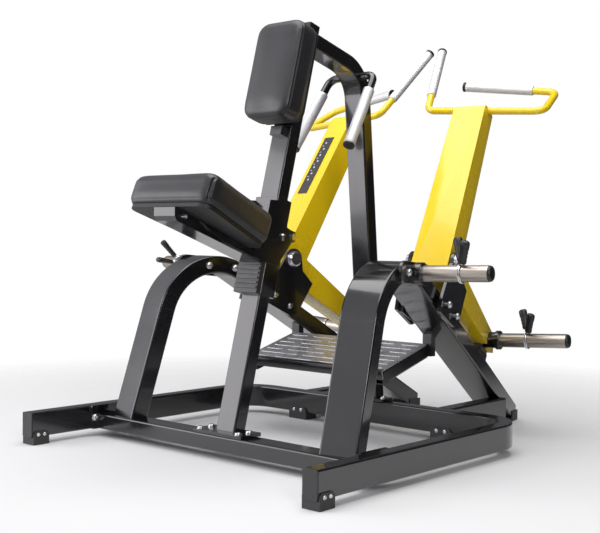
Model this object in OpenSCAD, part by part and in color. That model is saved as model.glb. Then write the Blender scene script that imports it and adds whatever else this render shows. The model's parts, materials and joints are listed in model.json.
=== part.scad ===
// Plate-loaded seated row with a chest pad, a sliding seat and two lever arms that swing on their own.
// Z is up, +Y is the way the user faces, X = 0 is the plane of symmetry and z = 0 is the floor.

/* [Base] */
// Width across the outside of the two side rails
base_w = 1260; // [1240:5:1280]
// Y of the front ends of the side rails
rail_front = -630; // [-650:5:-610]
// Y of the back face of the rear rail
rail_back = 425; // [420:1:430]
// Outer radius of the two rear corners of the base
rail_corner = 150; // [120:5:170]
// Gap between the base rails and the floor
rail_lift = 25; // [20:1:28]
// Wall thickness of every frame tube
wall = 3; // [2:0.5:4]

/* [Side frames] */
// Angle that each side frame turns inwards towards the back
splay = 10.8; // [10.6:0.1:11]
// Distance of a side frame's centre line from the symmetry plane, before it is turned
frame_x = 390; // [388:1:392]
// Width of the side frame's tube, across the bend
frame_w = 120; // [118:1:122]
// Depth of the side frame's tube, in the plane of the bend
frame_d = 60; // [58:1:62]
// Angle of the front leg from upright
leg_lean = 16.5; // [16:0.1:17]
// Slope of the long rear beam
beam_slope = 31.3; // [31:0.1:31.5]
// Height of the top of the arch
arch_top = 615; // [612:1:617]

/* [Column and post] */
// Angle of the column from upright
column_lean = 14.5; // [14.3:0.1:14.7]
// Length of the column along its front face
column_len = 1341; // [1335:1:1350]
// Angle of the rear post from upright
post_lean = 5.6; // [5.4:0.1:5.8]

/* [Lever arms] */
// How far an arm swings from its stop towards the user, in degrees
arm_swing = 38; // [30:1:38]
// Radius of the shaft that an arm turns on
shaft_r = 15; // [12:1:16]
// Radius of the weight horns
horn_r = 25; // [24:0.5:25.5]

/* [Seat and pads] */
// Slope of the seat towards the column
seat_slope = 21.5; // [20:0.5:22]
// Thickness of the seat cushion without its board
seat_t = 90; // [76:1:96]
// Thickness of the chest cushion without its board
chest_t = 80; // [70:1:84]

/* [Hidden] */
$fn = 48;

// Puts the origin on the floor under the middle of the machine
centre_y = -161.2;
tube_corner = 6;
weld_gap = 0.5;
beam_len = 1060;
leg_len = 420;
big = 3000;
bar_sides = 16;
bend_steps = 6;
gap = 0.4;

rail_w = 50;
rail_h = 80;
rail_x = (base_w - rail_w) / 2;
rail_z = rail_lift + rail_h / 2;
rail_bend = rail_corner - rail_w / 2;
rear_rail_y = rail_back - rail_w / 2;
foot_wall = 5;
foot_h = 45;
foot_len = 60;
rear_foot_x = 322;
rear_foot_len = 84;

crossbar_y = -335;
crossbar_w = 80;
crossbar_h = 50;
crossbar_top = rail_lift + crossbar_h;
flange_t = 10;
flange_w = 132;
plate_t = 10;
stringer_x = 300;

arch_r = 206;
arch_y = -101.3;
arch_z = arch_top - arch_r - frame_d / 2;
beam_end_y = 878;
beam_foot_z = 12;

column_w = 80;
column_d = 50;
column_front = -334.7;
column_foot = crossbar_top + plate_t;
top_tube_up = 1296;
post_bend = 130;
post_len = 1100;
post_front_y = 380;
post_foot = rail_lift + rail_h + plate_t;
grip_r = 16.5;
bar_r = 12.5;
fixed_bar_r = 14;
fixed_grip_r = 19;
fixed_grip_len = 233;

pivot = [220, 605];
boss_r = 37;
bracket_gap = 140;
bracket_t = 10;
arm_x = 390;
arm_wall = 5;
bush_r = shaft_r + 5;
bush_len = 40;
running = 0.04;

horn_bore = 20;
land = 0.4;
land_len = 24;
storage_horn = [-81, 578];
storage_tilt = 1.4;
storage_plate_t = 12;
arm_horn = [615, 322];
arm_horn_tilt = 2.5;
clip_wire = 2.25;

bolt_r = 6;
head_r = 10;
head_h = 7;

black = "#1b1b1d";
yellow = "#e8c81e";
silver = "#b8babd";
steel = "#8f8a84";
rubber = "#101011";
pad = "#222124";

function unit(v) = v / norm(v);
function along(a) = [cos(a), sin(a)];
// Where the line through p at angle a crosses the line through q at angle b
function cross_at(p, a, q, b) =
    let (d = q - p, t = (d.x * sin(b) - d.y * cos(b)) / (cos(a) * sin(b) - sin(a) * cos(b)))
    p + t * along(a);

// ---- placing ----
module at_machine() translate([0, centre_y, 0]) children();
module side(s) mirror([s < 0 ? 1 : 0, 0, 0]) children();
module both_sides() for (s = [-1, 1]) side(s) children();
module frame_side(s) side(s) rotate([0, 0, splay]) children();
module on_side(s) at_machine() frame_side(s) children();
module on_both_sides() for (s = [-1, 1]) on_side(s) children();
// Draws in the Y-Z plane and extrudes along X
module yz(x = 0) translate([x, 0, 0]) rotate([90, 0, 90]) children();
module facing_out(x, p) translate([x, p.x, p.y]) rotate([0, 90, 0]) children();
// On the column: y = 0 is its front face and z runs up along it
module on_column() at_machine() translate([0, column_front, column_foot]) rotate([-column_lean, 0, 0]) children();
module on_arm_pivot() facing_out(arm_x, pivot) children();
module storage_horn_axis() facing_out(frame_x + frame_w / 2, storage_horn) rotate([0, -storage_tilt, 0]) children();
module arm_horn_axis() facing_out(arm_x + 30, arm_horn) rotate([0, -arm_horn_tilt, 0]) children();

// ---- shared shapes ----
module rounded(w, h, r) {
    square([w - 2 * r, h], center = true);
    square([w, h - 2 * r], center = true);
    for (x = [-1, 1], y = [-1, 1])
        translate([x * (w / 2 - r), y * (h / 2 - r)]) circle(r);
}
module tube_section(w, h) difference() {
    rounded(w, h, tube_corner);
    rounded(w - 2 * wall, h - 2 * wall, tube_corner - wall);
}
module tube_x(l, w, h) rotate([90, 0, 90]) linear_extrude(l) tube_section(w, h);
// The flat weld ring between two lengths of tube, which stands 0.3 proud inside and out.
module weld_ring(w, h) translate([0, 0, -1]) linear_extrude(2) difference() {
    rounded(w + 0.6, h + 0.6, tube_corner + 0.3);
    rounded(w - 2 * wall - 0.6, h - 2 * wall - 0.6, tube_corner - wall - 0.3);
}
module slot_shape(l, r) {
    square([l - 2 * r, 2 * r], center = true);
    for (x = [-1, 1]) translate([x * (l / 2 - r), 0]) circle(r);
}
module ring(l, r, bore) difference() {
    cylinder(l, r = r);
    translate([0, 0, -1]) cylinder(l + 2, r = bore);
}
module below(z) translate([-big / 2, -big / 2, z - big]) cube(big);
// A rod or tube from a to b
module rod(a, b, r, bore = 0) translate(a)
    rotate([0, acos((b - a).z / norm(b - a)), atan2((b - a).y, (b - a).x)]) difference() {
        cylinder(norm(b - a), r = r);
        if (bore > 0) translate([0, 0, -1]) cylinder(norm(b - a) + 2, r = bore);
    }
// Places and directions along the bend at corner c between points a and b
function bend_places(a, c, b, bend) =
    let (u = unit(c - a), v = unit(b - c), e = -cross(unit(cross(u, v)), u), turn = acos(u * v),
        m = c - u * bend * tan(turn / 2) - e * bend)
    [for (i = [0 : bend_steps]) let (t = turn * i / bend_steps)
        [m + bend * (e * cos(t) + u * sin(t)), u * cos(t) - e * sin(t)]];
// Places and directions along a bent bar through the points of p
function bar_places(p, bend, extra) =
    let (n = len(p) - 1, first = unit(p[1] - p[0]), last = unit(p[n] - p[n - 1]))
    [[p[0] - first * extra, first],
        for (i = [1 : n - 1]) each bend_places(p[i - 1], p[i], p[i + 1], bend),
        [p[n] + last * extra, last]];
// Carries a side direction along the places without twisting it
function carried(q, x, i = 0) =
    i == len(q) ? [] : let (y = unit(x - q[i][1] * (x * q[i][1]))) concat([y], carried(q, y, i + 1));
module bent_bar(p, bend, r, extra = 0) {
    q = bar_places(p, bend, extra);
    x = carried(q, unit(cross(q[0][1], [0.3, 0.2, 1])));
    n = bar_sides;
    rings = [for (i = [0 : len(q) - 1], k = [0 : n - 1]) let (t = 360 * k / n)
        q[i][0] + r * (x[i] * cos(t) + cross(q[i][1], x[i]) * sin(t))];
    last = n * (len(q) - 1);
    sides = [for (i = [0 : len(q) - 2], k = [0 : n - 1]) let (a = i * n, m = (k + 1) % n)
        each [[a + k, a + n + k, a + n + m], [a + k, a + n + m, a + m]]];
    polyhedron(rings, concat([[for (k = [0 : n - 1]) k]], sides, [[for (k = [n - 1 : -1 : 0]) last + k]]));
}
module pipe(p, bend, r, bore) difference() {
    bent_bar(p, bend, r);
    bent_bar(p, bend, bore, 1);
}
// A button-head bolt: the head stands on z = 0 and the shank goes down
module bolt(l, r = bolt_r) {
    cylinder(2, r = 2.1 * r);
    translate([0, 0, 2]) cylinder(0.75 * r, r = 1.7 * r);
    translate([0, 0, 2 + 0.75 * r]) cylinder(0.4 * r, r1 = 1.7 * r, r2 = 1.2 * r);
    translate([0, 0, -l]) cylinder(l, r = r);
}
module bolt_and_nut(l, r = bolt_r) {
    bolt(l, r);
    translate([0, 0, -l]) cylinder(1.4 * r, r = 1.8 * r, $fn = 6);
}
module bolt_hole(l, r = bolt_r) translate([0, 0, -l - 1]) cylinder(l + 2, r = r + 0.3);

// ---- base ----
module rail_run(x) translate([x, rail_front, 0]) rotate([0, 0, 90])
    tube_x(rear_rail_y - rail_bend - rail_front, rail_w, rail_h);
module base_rails() color(black) at_machine() difference() {
    translate([0, 0, rail_z]) {
        both_sides() {
            rail_run(rail_x);
            translate([rail_x - rail_bend, rear_rail_y - rail_bend, 0])
                rotate_extrude(angle = 90) translate([rail_bend, 0]) tube_section(rail_w, rail_h);
        }
        translate([rail_bend - rail_x, rear_rail_y, 0]) tube_x(2 * (rail_x - rail_bend), rail_w, rail_h);
    }
    foot_screw_sites() bolt_hole(12, 3);
    crossbar_bolt_sites() bolt_hole(20);
    post_bolt_sites() bolt_hole(20);
}
module rail_end_caps() color(rubber) at_machine() difference() {
    both_sides() translate([rail_x, rail_front, rail_z]) rotate([90, 0, 0]) {
        linear_extrude(5) rounded(rail_w, rail_h, tube_corner);
        translate([0, 0, -18]) linear_extrude(18)
            rounded(rail_w - 2 * wall - gap, rail_h - 2 * wall - gap, tube_corner - wall);
    }
    foot_screw_sites() bolt_hole(12, 3);
}
// A shoe that holds a rail between two cheeks; it runs along X
module shoe(l) difference() {
    translate([-l / 2, -rail_w / 2 - foot_wall, 0]) cube([l, rail_w + 2 * foot_wall, foot_h]);
    translate([-l, -rail_w / 2, rail_lift]) cube([2 * l, rail_w, foot_h]);
    for (x = [-1, 1]) translate([x * l / 2, 0, foot_h]) rotate([90, 45, 0])
        cube([14, 14, big], center = true);
}
module foot_places() {
    both_sides() {
        translate([rail_x, rail_front + foot_len / 2, 0]) rotate([0, 0, 90]) children(0);
        translate([rear_foot_x, rear_rail_y, 0]) children(1);
    }
}
module shoe_screws(l, by_stringer) for (x = [-1, 1], y = [-1, 1]) if (!(by_stringer && x < 0 && y > 0))
    translate([x * l / 5, y * (rail_w / 2 + foot_wall), foot_h - 11]) rotate([-90 * y, 0, 0]) children();
module foot_screw_sites() foot_places() {
    shoe_screws(foot_len, false) children();
    shoe_screws(rear_foot_len, true) children();
}
module base_feet() color(rubber) at_machine() difference() {
    foot_places() {
        shoe(foot_len);
        shoe(rear_foot_len);
    }
    foot_screw_sites() bolt_hole(12, 3);
    both_sides() translate([stringer_x - stringer_w / 2 - gap, rail_back, rail_lift - gap])
        cube([stringer_w + 2 * gap, foot_h, foot_h]);
}
module foot_screws() color(silver) at_machine() foot_screw_sites() bolt(12, 3);
module front_crossbar() color(black) at_machine() difference() {
    union() {
        translate([-rail_x + rail_w / 2 + flange_t, crossbar_y, rail_lift + crossbar_h / 2])
            tube_x(2 * (rail_x - rail_w / 2 - flange_t), crossbar_w, crossbar_h);
        both_sides() translate([rail_x - rail_w / 2 - flange_t, crossbar_y, rail_z]) rotate([90, 0, 90])
            linear_extrude(flange_t) rounded(flange_w, rail_h, 8);
    }
    crossbar_bolt_sites() bolt_hole(20);
    column_bolt_sites() bolt_hole(20);
}
module crossbar_bolt_sites() both_sides() for (y = [-1, 1])
    translate([rail_x - rail_w / 2 - flange_t, crossbar_y + y * (flange_w / 2 - 13), rail_z])
        rotate([0, -90, 0]) children();
module crossbar_bolts() color(silver) at_machine() crossbar_bolt_sites() bolt(18);
// The stringers are scribed to the underside of the beams
stringer_to = 712;
stringer_len = 400;
stringer_w = 56;
module rear_stringers() color(black) at_machine() for (s = [-1, 1]) difference() {
    intersection() {
        side(s) translate([stringer_x, rail_back, rail_z]) rotate([0, 0, 90])
            tube_x(stringer_len, stringer_w, rail_h);
        frame_side(s) cube([big, stringer_to, big]);
    }
    frame_side(s) bent_frame() rounded(frame_d, frame_w, tube_corner);
}

// ---- side frames ----
module bent_frame(gap = 0) yz(frame_x) translate([arch_y, arch_z, 0]) {
    rotate([0, 0, 90 - beam_slope]) {
        rotate_extrude(angle = 90 + beam_slope - leg_lean) translate([arch_r, 0]) children();
        translate([arch_r, 0, 0]) rotate([90, 0, 0]) linear_extrude(beam_len) children();
    }
    at_leg_top() translate([0, 0, gap]) linear_extrude(leg_len) children();
}
module at_leg_top() rotate([0, 0, 180 - leg_lean]) translate([arch_r, 0, 0]) rotate([-90, 0, 0]) children();
module side_frame(s) color(black) on_side(s) difference() {
    union() {
        bent_frame(weld_gap) tube_section(frame_d, frame_w);
        yz(frame_x) translate([arch_y, arch_z, 0]) at_leg_top() weld_ring(frame_d, frame_w);
    }
    translate([0, -big, crossbar_top - big]) cube([big, big, big]);
    translate([0, 0, beam_foot_z - big]) cube([big, big, big]);
    translate([0, beam_end_y, 0]) cube([big, big, big]);
    horn_bolt_sites() bolt_hole(160);
    bracket_bolt_sites() bolt_hole(190);
}
module left_side_frame() side_frame(-1);
module right_side_frame() side_frame(1);
module beam_end_feet() color(rubber) on_both_sides() difference() {
    translate([frame_x - frame_w / 2 - 4, beam_end_y - 46, 0]) cube([frame_w + 8, 56, 38]);
    bent_frame() rounded(frame_d, frame_w, tube_corner);
    translate([frame_x - frame_w / 2, 0, beam_foot_z]) cube([frame_w, beam_end_y, big]);
}

// ---- weight storage horns ----
// A horn along +z: a collar of length c, then the bare horn up to z = l
module horn(c, l, x_land) difference() {
    union() {
        cylinder(c, r = horn_r + 9);
        cylinder(l, r = horn_r);
    }
    translate([0, 0, c + 4]) cylinder(big, r = horn_bore);
    translate([0, 0, x_land - land_len / 2]) ring(land_len, horn_r + 5, horn_r - land);
}
module horn_cap(l) translate([0, 0, l]) {
    cylinder(10, r = horn_r - land);
    translate([0, 0, 10]) cylinder(2, r1 = horn_r - land, r2 = horn_r - 2);
    translate([0, 0, -15]) cylinder(15, r = horn_bore - gap / 2);
}
storage_len = 246;
storage_land = 148;
module horn_bolt_sites() for (y = [-1, 1])
    facing_out(frame_x + frame_w / 2 + storage_plate_t, storage_horn + [y * 54, -y * 5]) children();
module storage_horns() color(steel) on_both_sides() difference() {
    union() {
        yz(frame_x + frame_w / 2) translate(storage_horn) rotate(-5) linear_extrude(storage_plate_t)
            slot_shape(215, 34);
        difference() {
            storage_horn_axis() translate([0, 0, storage_plate_t - 2]) horn(26, storage_len - storage_plate_t, storage_land);
            translate([0, -big / 2, 0]) cube([frame_x + frame_w / 2, big, big]);
        }
    }
    horn_bolt_sites() bolt_hole(30);
}
module storage_horn_caps() color(rubber) on_both_sides() storage_horn_axis() horn_cap(storage_len - 2);
module horn_bolts() color(silver) on_both_sides() horn_bolt_sites()
    bolt_and_nut(frame_w + storage_plate_t + 9);

// ---- column ----
module column_bolt_sites() for (x = [-1, 1], y = [-1, 1])
    translate([x * 82, crossbar_y + y * 24, column_foot]) children();
module column() color(black) {
    difference() {
        on_column() {
            translate([0, column_d / 2, 0]) linear_extrude(column_len) tube_section(column_w, column_d);
            translate([0, column_d / 2, column_len]) linear_extrude(4) rounded(column_w, column_d, tube_corner);
        }
        below(column_foot);
    }
    at_machine() difference() {
        translate([0, crossbar_y + 9, crossbar_top]) linear_extrude(plate_t) rounded(210, 96, 8);
        column_bolt_sites() bolt_hole(20);
    }
}
module column_bolts() color(silver) at_machine() column_bolt_sites() bolt(20);
rack_low = 640;
rack_len = 320;
rack_pitch = 25;
module adjustment_rack() color(black) on_column() difference() {
    translate([-20, column_d, rack_low]) cube([40, 14, rack_len]);
    for (z = [0 : rack_pitch : rack_len - 60])
        translate([-12, column_d + 5, rack_low + 22 + z]) cube([24, 20, 13]);
}

// ---- rear post and fixed handle ----
post_foot_mid = [post_front_y + column_d / 2 / cos(post_lean), post_foot];
top_tube_from = [column_front, column_foot]
    + along(-column_lean) * column_d
    + along(90 - column_lean) * top_tube_up;
post_corner = cross_at(top_tube_from, -column_lean, post_foot_mid, 90 + post_lean);
post_trim = post_bend * tan((180 - (90 + post_lean + column_lean)) / 2);
bend_start = post_corner - along(-column_lean) * post_trim;
bend_centre = bend_start - along(90 - column_lean) * post_bend;
fixed_bar = bend_centre + along(40) * post_bend;
module post_bolt_sites() for (x = [-1, 1]) translate([x * 58, rear_rail_y, post_foot]) children();
module rear_post() color(black) at_machine() {
    difference() {
        yz() {
            translate(top_tube_from) rotate(-column_lean) {
                tube_x(norm(bend_start - top_tube_from) - weld_gap, column_d, column_w);
                translate([norm(bend_start - top_tube_from), 0, 0]) rotate([90, 0, 90])
                    weld_ring(column_d, column_w);
            }
            translate(bend_centre) rotate(post_lean) {
                rotate_extrude(angle = 90 - column_lean - post_lean) translate([post_bend, 0])
                    tube_section(column_d, column_w);
                translate([post_bend, 0, 0]) rotate([90, 0, 0]) linear_extrude(post_len)
                    tube_section(column_d, column_w);
            }
        }
        below(post_foot);
        translate([-big / 2, fixed_bar.x, fixed_bar.y]) rotate([0, 90, 0])
            cylinder(big, r = fixed_bar_r + 0.2);
    }
    difference() {
        translate([0, post_foot_mid.x, rail_lift + rail_h]) linear_extrude(plate_t) rounded(150, 68, 8);
        post_bolt_sites() bolt_hole(20);
    }
}
module rear_post_bolts() color(silver) at_machine() post_bolt_sites() bolt(20);
fixed_dir = unit([18, -129, -198]);
fixed_corner = [97, fixed_bar.x, fixed_bar.y];
fixed_grip_from = fixed_corner + fixed_dir * 66;
fixed_end = fixed_grip_from + fixed_dir * fixed_grip_len;
function flip(p) = [-p.x, p.y, p.z];
module fixed_handle() color(black) at_machine()
    pipe([flip(fixed_end), flip(fixed_corner), fixed_corner, fixed_end], 32, fixed_bar_r, fixed_bar_r - 3);
module fixed_grips() color(silver) at_machine() both_sides()
    rod(fixed_grip_from, fixed_end, fixed_grip_r, fixed_bar_r + 0.1);
module end_cap(at, dir, r) rod(at, at + dir * 10, r);
module fixed_grip_caps() color(rubber) at_machine() both_sides()
    end_cap(fixed_end, fixed_dir, fixed_grip_r + 1);

// ---- chest pad ----
chest_mid = 1150;
chest_w = 200;
chest_h = 330;
chest_board_t = 14;
bracket_stand = 6;
module chest_plate(y, t, shrink, r) on_column() translate([0, y, chest_mid]) rotate([90, 0, 0])
    linear_extrude(t) rounded(chest_w - shrink, chest_h - shrink, r);
module chest_pad_bracket() color(black) on_column() {
    translate([-35, -bracket_stand, chest_mid - 120]) cube([70, bracket_stand, 240]);
    translate([-24, -26, chest_mid - chest_h / 2 - 34]) cube([48, 26, 30]);
}
module chest_pad_board() color(rubber) chest_plate(-bracket_stand, chest_board_t, 16, 36);
module chest_pad() color(pad) chest_plate(-bracket_stand - chest_board_t, chest_t, 0, 42);

// ---- footplate ----
foot_front = [66, 262];
foot_rise = 15.6;
foot_depth = 260;
foot_half = 297;
module on_footplate() at_machine() translate([0, foot_front.x, foot_front.y]) rotate([foot_rise, 0, 0]) children();
module footplate() color(silver) on_footplate() {
    translate([-foot_half, 0, -5]) cube([2 * foot_half, foot_depth, 5]);
    translate([-foot_half, 0, -30]) cube([2 * foot_half, 5, 25]);
}
module footplate_frame() color(black) {
    on_footplate() {
        for (s = [-1, 1]) translate([s * (foot_half - 22), 6, -27.5])
            rotate([0, 0, 90]) tube_x(foot_depth - 6, 40, 45);
        translate([-foot_half + 42, foot_depth - 24, -27.5]) tube_x(2 * foot_half - 84, 40, 45);
    }
    at_machine() for (s = [-1, 1]) difference() {
        side(s) translate([foot_half - 20, foot_front.x + foot_depth - 4, 290]) cube([34, 26, 200]);
        frame_side(s) bent_frame() rounded(frame_d, frame_w, tube_corner);
        frame_side(s) yz() linear_extrude(big) polygon([[0, 600], [0, 530], [800, 60], [big, 60], [big, 600]]);
    }
}

// ---- hinge brackets ----
bracket_line = [[88, 455], [100, 495], [182, 606], [258, 600], [262, 560], [308, 512], [265, 445], [240, 402],
    [203, 398]];
bracket_pad = [[104, 447], [110, 486], [150, 500], [238, 442], [234, 412], [206, 404]];
module bracket_bolt_sites() for (p = [[146, 484], [132, 466], [212, 443], [201, 425]])
    facing_out(frame_x + bracket_gap / 2 + bracket_t, p) children();
module hinge_brackets() color(black) on_both_sides() difference() {
    for (m = [0, 1]) translate([frame_x, 0, 0]) mirror([m, 0, 0]) {
        yz(bracket_gap / 2) linear_extrude(bracket_t) {
            polygon(bracket_line);
            translate(pivot) circle(boss_r);
        }
        yz(frame_w / 2) linear_extrude((bracket_gap - frame_w) / 2) polygon(bracket_pad);
    }
    facing_out(0, pivot) cylinder(big, r = shaft_r + 0.1);
    bracket_bolt_sites() bolt_hole(200);
}
module bracket_bolts() color(silver) on_both_sides() bracket_bolt_sites()
    bolt_and_nut(bracket_gap + 2 * bracket_t + 9);
module hinge_shafts() color(silver) on_both_sides() for (m = [0, 1]) translate([frame_x, 0, 0])
    mirror([m, 0, 0]) facing_out(0, pivot) {
        cylinder(bracket_gap / 2 + bracket_t, r = shaft_r);
        translate([0, 0, bracket_gap / 2 + bracket_t]) {
            cylinder(4, r = 32);
            translate([0, 0, 4]) cylinder(8, r = 27);
            translate([0, 0, 12]) cylinder(3, r1 = 27, r2 = 22);
        }
    }

// ---- stops under the arms ----
stop_at = [582, 240];
module on_stop() translate([frame_x, stop_at.x, stop_at.y]) rotate([-beam_slope, 0, 0]) children();
module arm_stops() color(black) on_both_sides() difference() {
    on_stop() translate([-32, -32, -20]) cube([64, 64, 70]);
    bent_frame() rounded(frame_d, frame_w, tube_corner);
    yz() linear_extrude(big) polygon([[0, 500], [0, 300], [900, -260], [big, -400], [0, -400]]);
}
module stop_pads() color(rubber) on_both_sides() on_stop() translate([-28, -36, 50]) cube([56, 72, 13]);

// ---- lever arms ----
heel = [154, 566];
crotch = [293.5, 603];
upper_arm = [heel, [504, 1143], [512, 1152], [521, 1152], [575, 1126], [580, 1117], crotch, [300, 500]];
lower_arm = [heel, [200, 628], crotch, [655, 338.5], [655, 272.5]];
module upper_taper(t) rotate([90, 0, 0]) translate([arm_x, 0, -big]) linear_extrude(big)
    polygon([[-66 + t, 500], [66 - t, 500], [58 - t, 1155], [-58 + t, 1155]]);
module lower_taper(t) translate([arm_x, 0, 0]) linear_extrude(big)
    polygon([[-65 + t, 100], [65 - t, 100], [48 - t, 655], [-48 + t, 655]]);
module arm_body(t) {
    intersection() {
        yz() linear_extrude(big) offset(delta = -t) polygon(upper_arm);
        upper_taper(t);
    }
    intersection() {
        yz() linear_extrude(big) offset(delta = -t) polygon(lower_arm);
        lower_taper(t);
    }
}
module lever_arm(s) color(yellow) on_side(s) difference() {
    union() {
        difference() {
            arm_body(0);
            arm_body(arm_wall);
        }
        on_arm_pivot() translate([0, 0, -62]) cylinder(124, r = 31);
    }
    on_arm_pivot() translate([0, 0, -100]) cylinder(200, r = bush_r);
    rod(inner_corner, outer_corners[0], bar_r + 0.2);
}
module hinge_bushes(s) color(steel) on_side(s) for (m = [0, 1]) on_arm_pivot() mirror([0, 0, m])
    translate([0, 0, 66 - bush_len]) {
        ring(bush_len, bush_r, shaft_r + running);
        translate([0, 0, bush_len - 0.01]) ring(3, bush_r + 6, shaft_r + running);
    }
inner_corner = [214, 545, 1147];
outer_corners = [[648, 541, 1125], [646, 687, 1207]];
function grip_ends(corner, end, l) = [end - unit(end - corner) * l, end];
inner_grip = grip_ends(inner_corner, [175, 762, 1393], 249);
outer_grip = grip_ends(outer_corners[1], [306, 687, 1245], 256);
module handle_bar(s) color(yellow) on_side(s)
    pipe([inner_grip[1], inner_corner, outer_corners[0], outer_corners[1], outer_grip[1]], 34, bar_r, bar_r - 3);
module grips(s) color(silver) on_side(s) for (g = [inner_grip, outer_grip]) rod(g[0], g[1], grip_r, bar_r + 0.1);
module grip_caps(s) color(rubber) on_side(s) for (g = [inner_grip, outer_grip])
    end_cap(g[1], unit(g[1] - g[0]), grip_r + 1);
arm_horn_len = 300;
arm_land = 160;
module arm_horn(s) color(steel) on_side(s) difference() {
    arm_horn_axis() {
        cylinder(60, r = horn_r + 4);
        translate([0, 0, 46]) horn(14, arm_horn_len - 46, arm_land - 46);
    }
    arm_body(0);
}
module arm_horn_cap(s) color(rubber) on_side(s) arm_horn_axis() horn_cap(arm_horn_len);
module arm_placard() color(silver) on_side(-1) translate([arm_x - 14, 0, 0])
    rotate([90, 0, 90]) linear_extrude(52) translate([325.8, 850]) rotate(atan2(577, 350)) square([255, 2]);

// ---- spring clips: three turns of wire round the horn and two grips ----
module clip() {
    for (z = [-1, 0, 1]) translate([0, 0, z * 2.1 * clip_wire])
        rotate_extrude() translate([horn_r + gap + clip_wire, 0]) circle(clip_wire, $fn = 16);
    for (m = [-1, 1]) translate([0, 0, m * 2.1 * clip_wire]) rotate([0, 0, 180 + m * 16]) {
        rod([horn_r + 2, 0, 0], [44, 0, m * 4], clip_wire);
        rod([42, 0, m * 4], [112, 0, m * 8], 6.5);
    }
}
module storage_clip(s) color(silver) on_side(s) storage_horn_axis()
    translate([0, 0, storage_land + storage_plate_t - 2]) rotate([0, 0, s < 0 ? 60 : 0]) clip();
module arm_clip(s) color(silver) on_side(s) arm_horn_axis() translate([0, 0, arm_land]) clip();

// ---- seat carriage ----
sleeve_low = 432;
sleeve_len = 316;
sleeve_t = 6;
liner_t = 3;
sleeve_w = column_w + 2 * (gap + liner_t + sleeve_t);
sleeve_d = column_d + 2 * (gap + liner_t + sleeve_t);
seat_foot = [-563, 757];
arm_half = 45;
arm_line = [[-589, 766], [-589, 740], [-581, 726], [-238, 606], [-190, 600], [-190, 640]];
cheek_line = [[-490, 727], [-455, 700], [-390, 664], [-300, 630], [-214, 604], [-160, 592], [-96, 664],
    [-78, 668], [-70, 684], [-78, 700], [-96, 705], [-130, 720], [-150, 800], [-196, 800], [-240, 642],
    [-400, 692]];
latch_pivot = [-89, 684];
module on_seat() at_machine() translate([0, seat_foot.x, seat_foot.y]) rotate([-seat_slope, 0, 0]) children();
module sleeve_hole(w, d) on_column() translate([0, column_d / 2, 0]) linear_extrude(big)
    square([w, d], center = true);
// Opening down the back of the sleeve that clears the rack
module rack_slot() on_column() translate([-21.5, column_d - 5, 0]) cube([43, 30, big]);
module seat_carriage() color(black) difference() {
    union() {
        on_column() translate([0, column_d / 2, sleeve_low]) linear_extrude(sleeve_len)
            rounded(sleeve_w, sleeve_d, 5);
        at_machine() difference() {
            yz(-arm_half) linear_extrude(2 * arm_half) polygon(arm_line);
            yz(-arm_half + 5) linear_extrude(2 * arm_half - 10) offset(delta = -5) polygon(arm_line);
        }
        at_machine() both_sides() yz(sleeve_w / 2 - 4.5) linear_extrude(8) polygon(cheek_line);
    }
    sleeve_hole(sleeve_w - 2 * sleeve_t, sleeve_d - 2 * sleeve_t);
    rack_slot();
    on_seat() translate([-big / 2, -big / 2, 0]) cube([big, big / 2 + 318, big]);
    carriage_bolt_sites() bolt_hole(30);
}
module carriage_liner() color(silver) intersection() {
    difference() {
        sleeve_hole(sleeve_w - 2 * sleeve_t, sleeve_d - 2 * sleeve_t);
        sleeve_hole(column_w + 2 * gap, column_d + 2 * gap);
        rack_slot();
    }
    on_column() translate([-100, -100, sleeve_low + 4]) cube([200, 300, sleeve_len - 8]);
}
module carriage_cover() color(rubber) difference() {
    on_column() difference() {
        union() {
            translate([-sleeve_w / 2, -28, sleeve_low]) cube([sleeve_w, 18.5, 104]);
            for (i = [0 : 5]) translate([-sleeve_w / 2 + 4, -31, sleeve_low + 14 + 15 * i])
                cube([sleeve_w - 8, 3, 8]);
        }
        translate([-sleeve_w / 2 + 3, -25, sleeve_low + 3]) cube([sleeve_w - 6, 30, 98]);
    }
    at_machine() {
        yz(-arm_half - gap) linear_extrude(2 * arm_half + 2 * gap) offset(delta = gap) polygon(arm_line);
        both_sides() yz(sleeve_w / 2 - 4.5 - gap) linear_extrude(8 + 2 * gap) offset(delta = gap)
            polygon(cheek_line);
    }
}
module carriage_bolt_sites() at_machine() {
    both_sides() {
        translate([arm_half, -558, 741]) rotate([0, 90, 0]) children();
        translate([sleeve_w / 2 + 3.5, -140, 682]) rotate([0, 90, 0]) children();
    }
}
module carriage_bolts() color(silver) carriage_bolt_sites() bolt(9, 5);
module latch_pin() color(silver) at_machine() translate([0, latch_pivot.x, latch_pivot.y]) rotate([0, 90, 0]) {
    translate([0, 0, 4.5 - sleeve_w / 2]) cylinder(sleeve_w - 9, r = 5);
    for (m = [0, 1]) mirror([0, 0, m]) translate([0, 0, sleeve_w / 2 + 3.5]) cylinder(6, r = 11);
}
latch_line = [[-100, 676], [-76, 676], [-70, 700], [-66, 770], [-74, 770], [-80, 724], [-98, 722], [-103, 716],
    [-98, 708]];
module seat_latch() color(rubber) at_machine() difference() {
    yz(-11) linear_extrude(22) polygon(latch_line);
    translate([-50, latch_pivot.x, latch_pivot.y]) rotate([0, 90, 0]) cylinder(100, r = 5 + running);
}
module seat_plan(grow) hull() for (x = [-1, 1]) {
    translate([x * (145 + grow), -5 - grow]) circle(32, $fn = 32);
    translate([x * (98 + grow), 272 + grow]) circle(32, $fn = 32);
}
module seat_board() color(rubber) on_seat() linear_extrude(11.8) seat_plan(-10);
module seat_pad() color(pad) on_seat() translate([0, 0, 12]) linear_extrude(seat_t) seat_plan(0);

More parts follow.
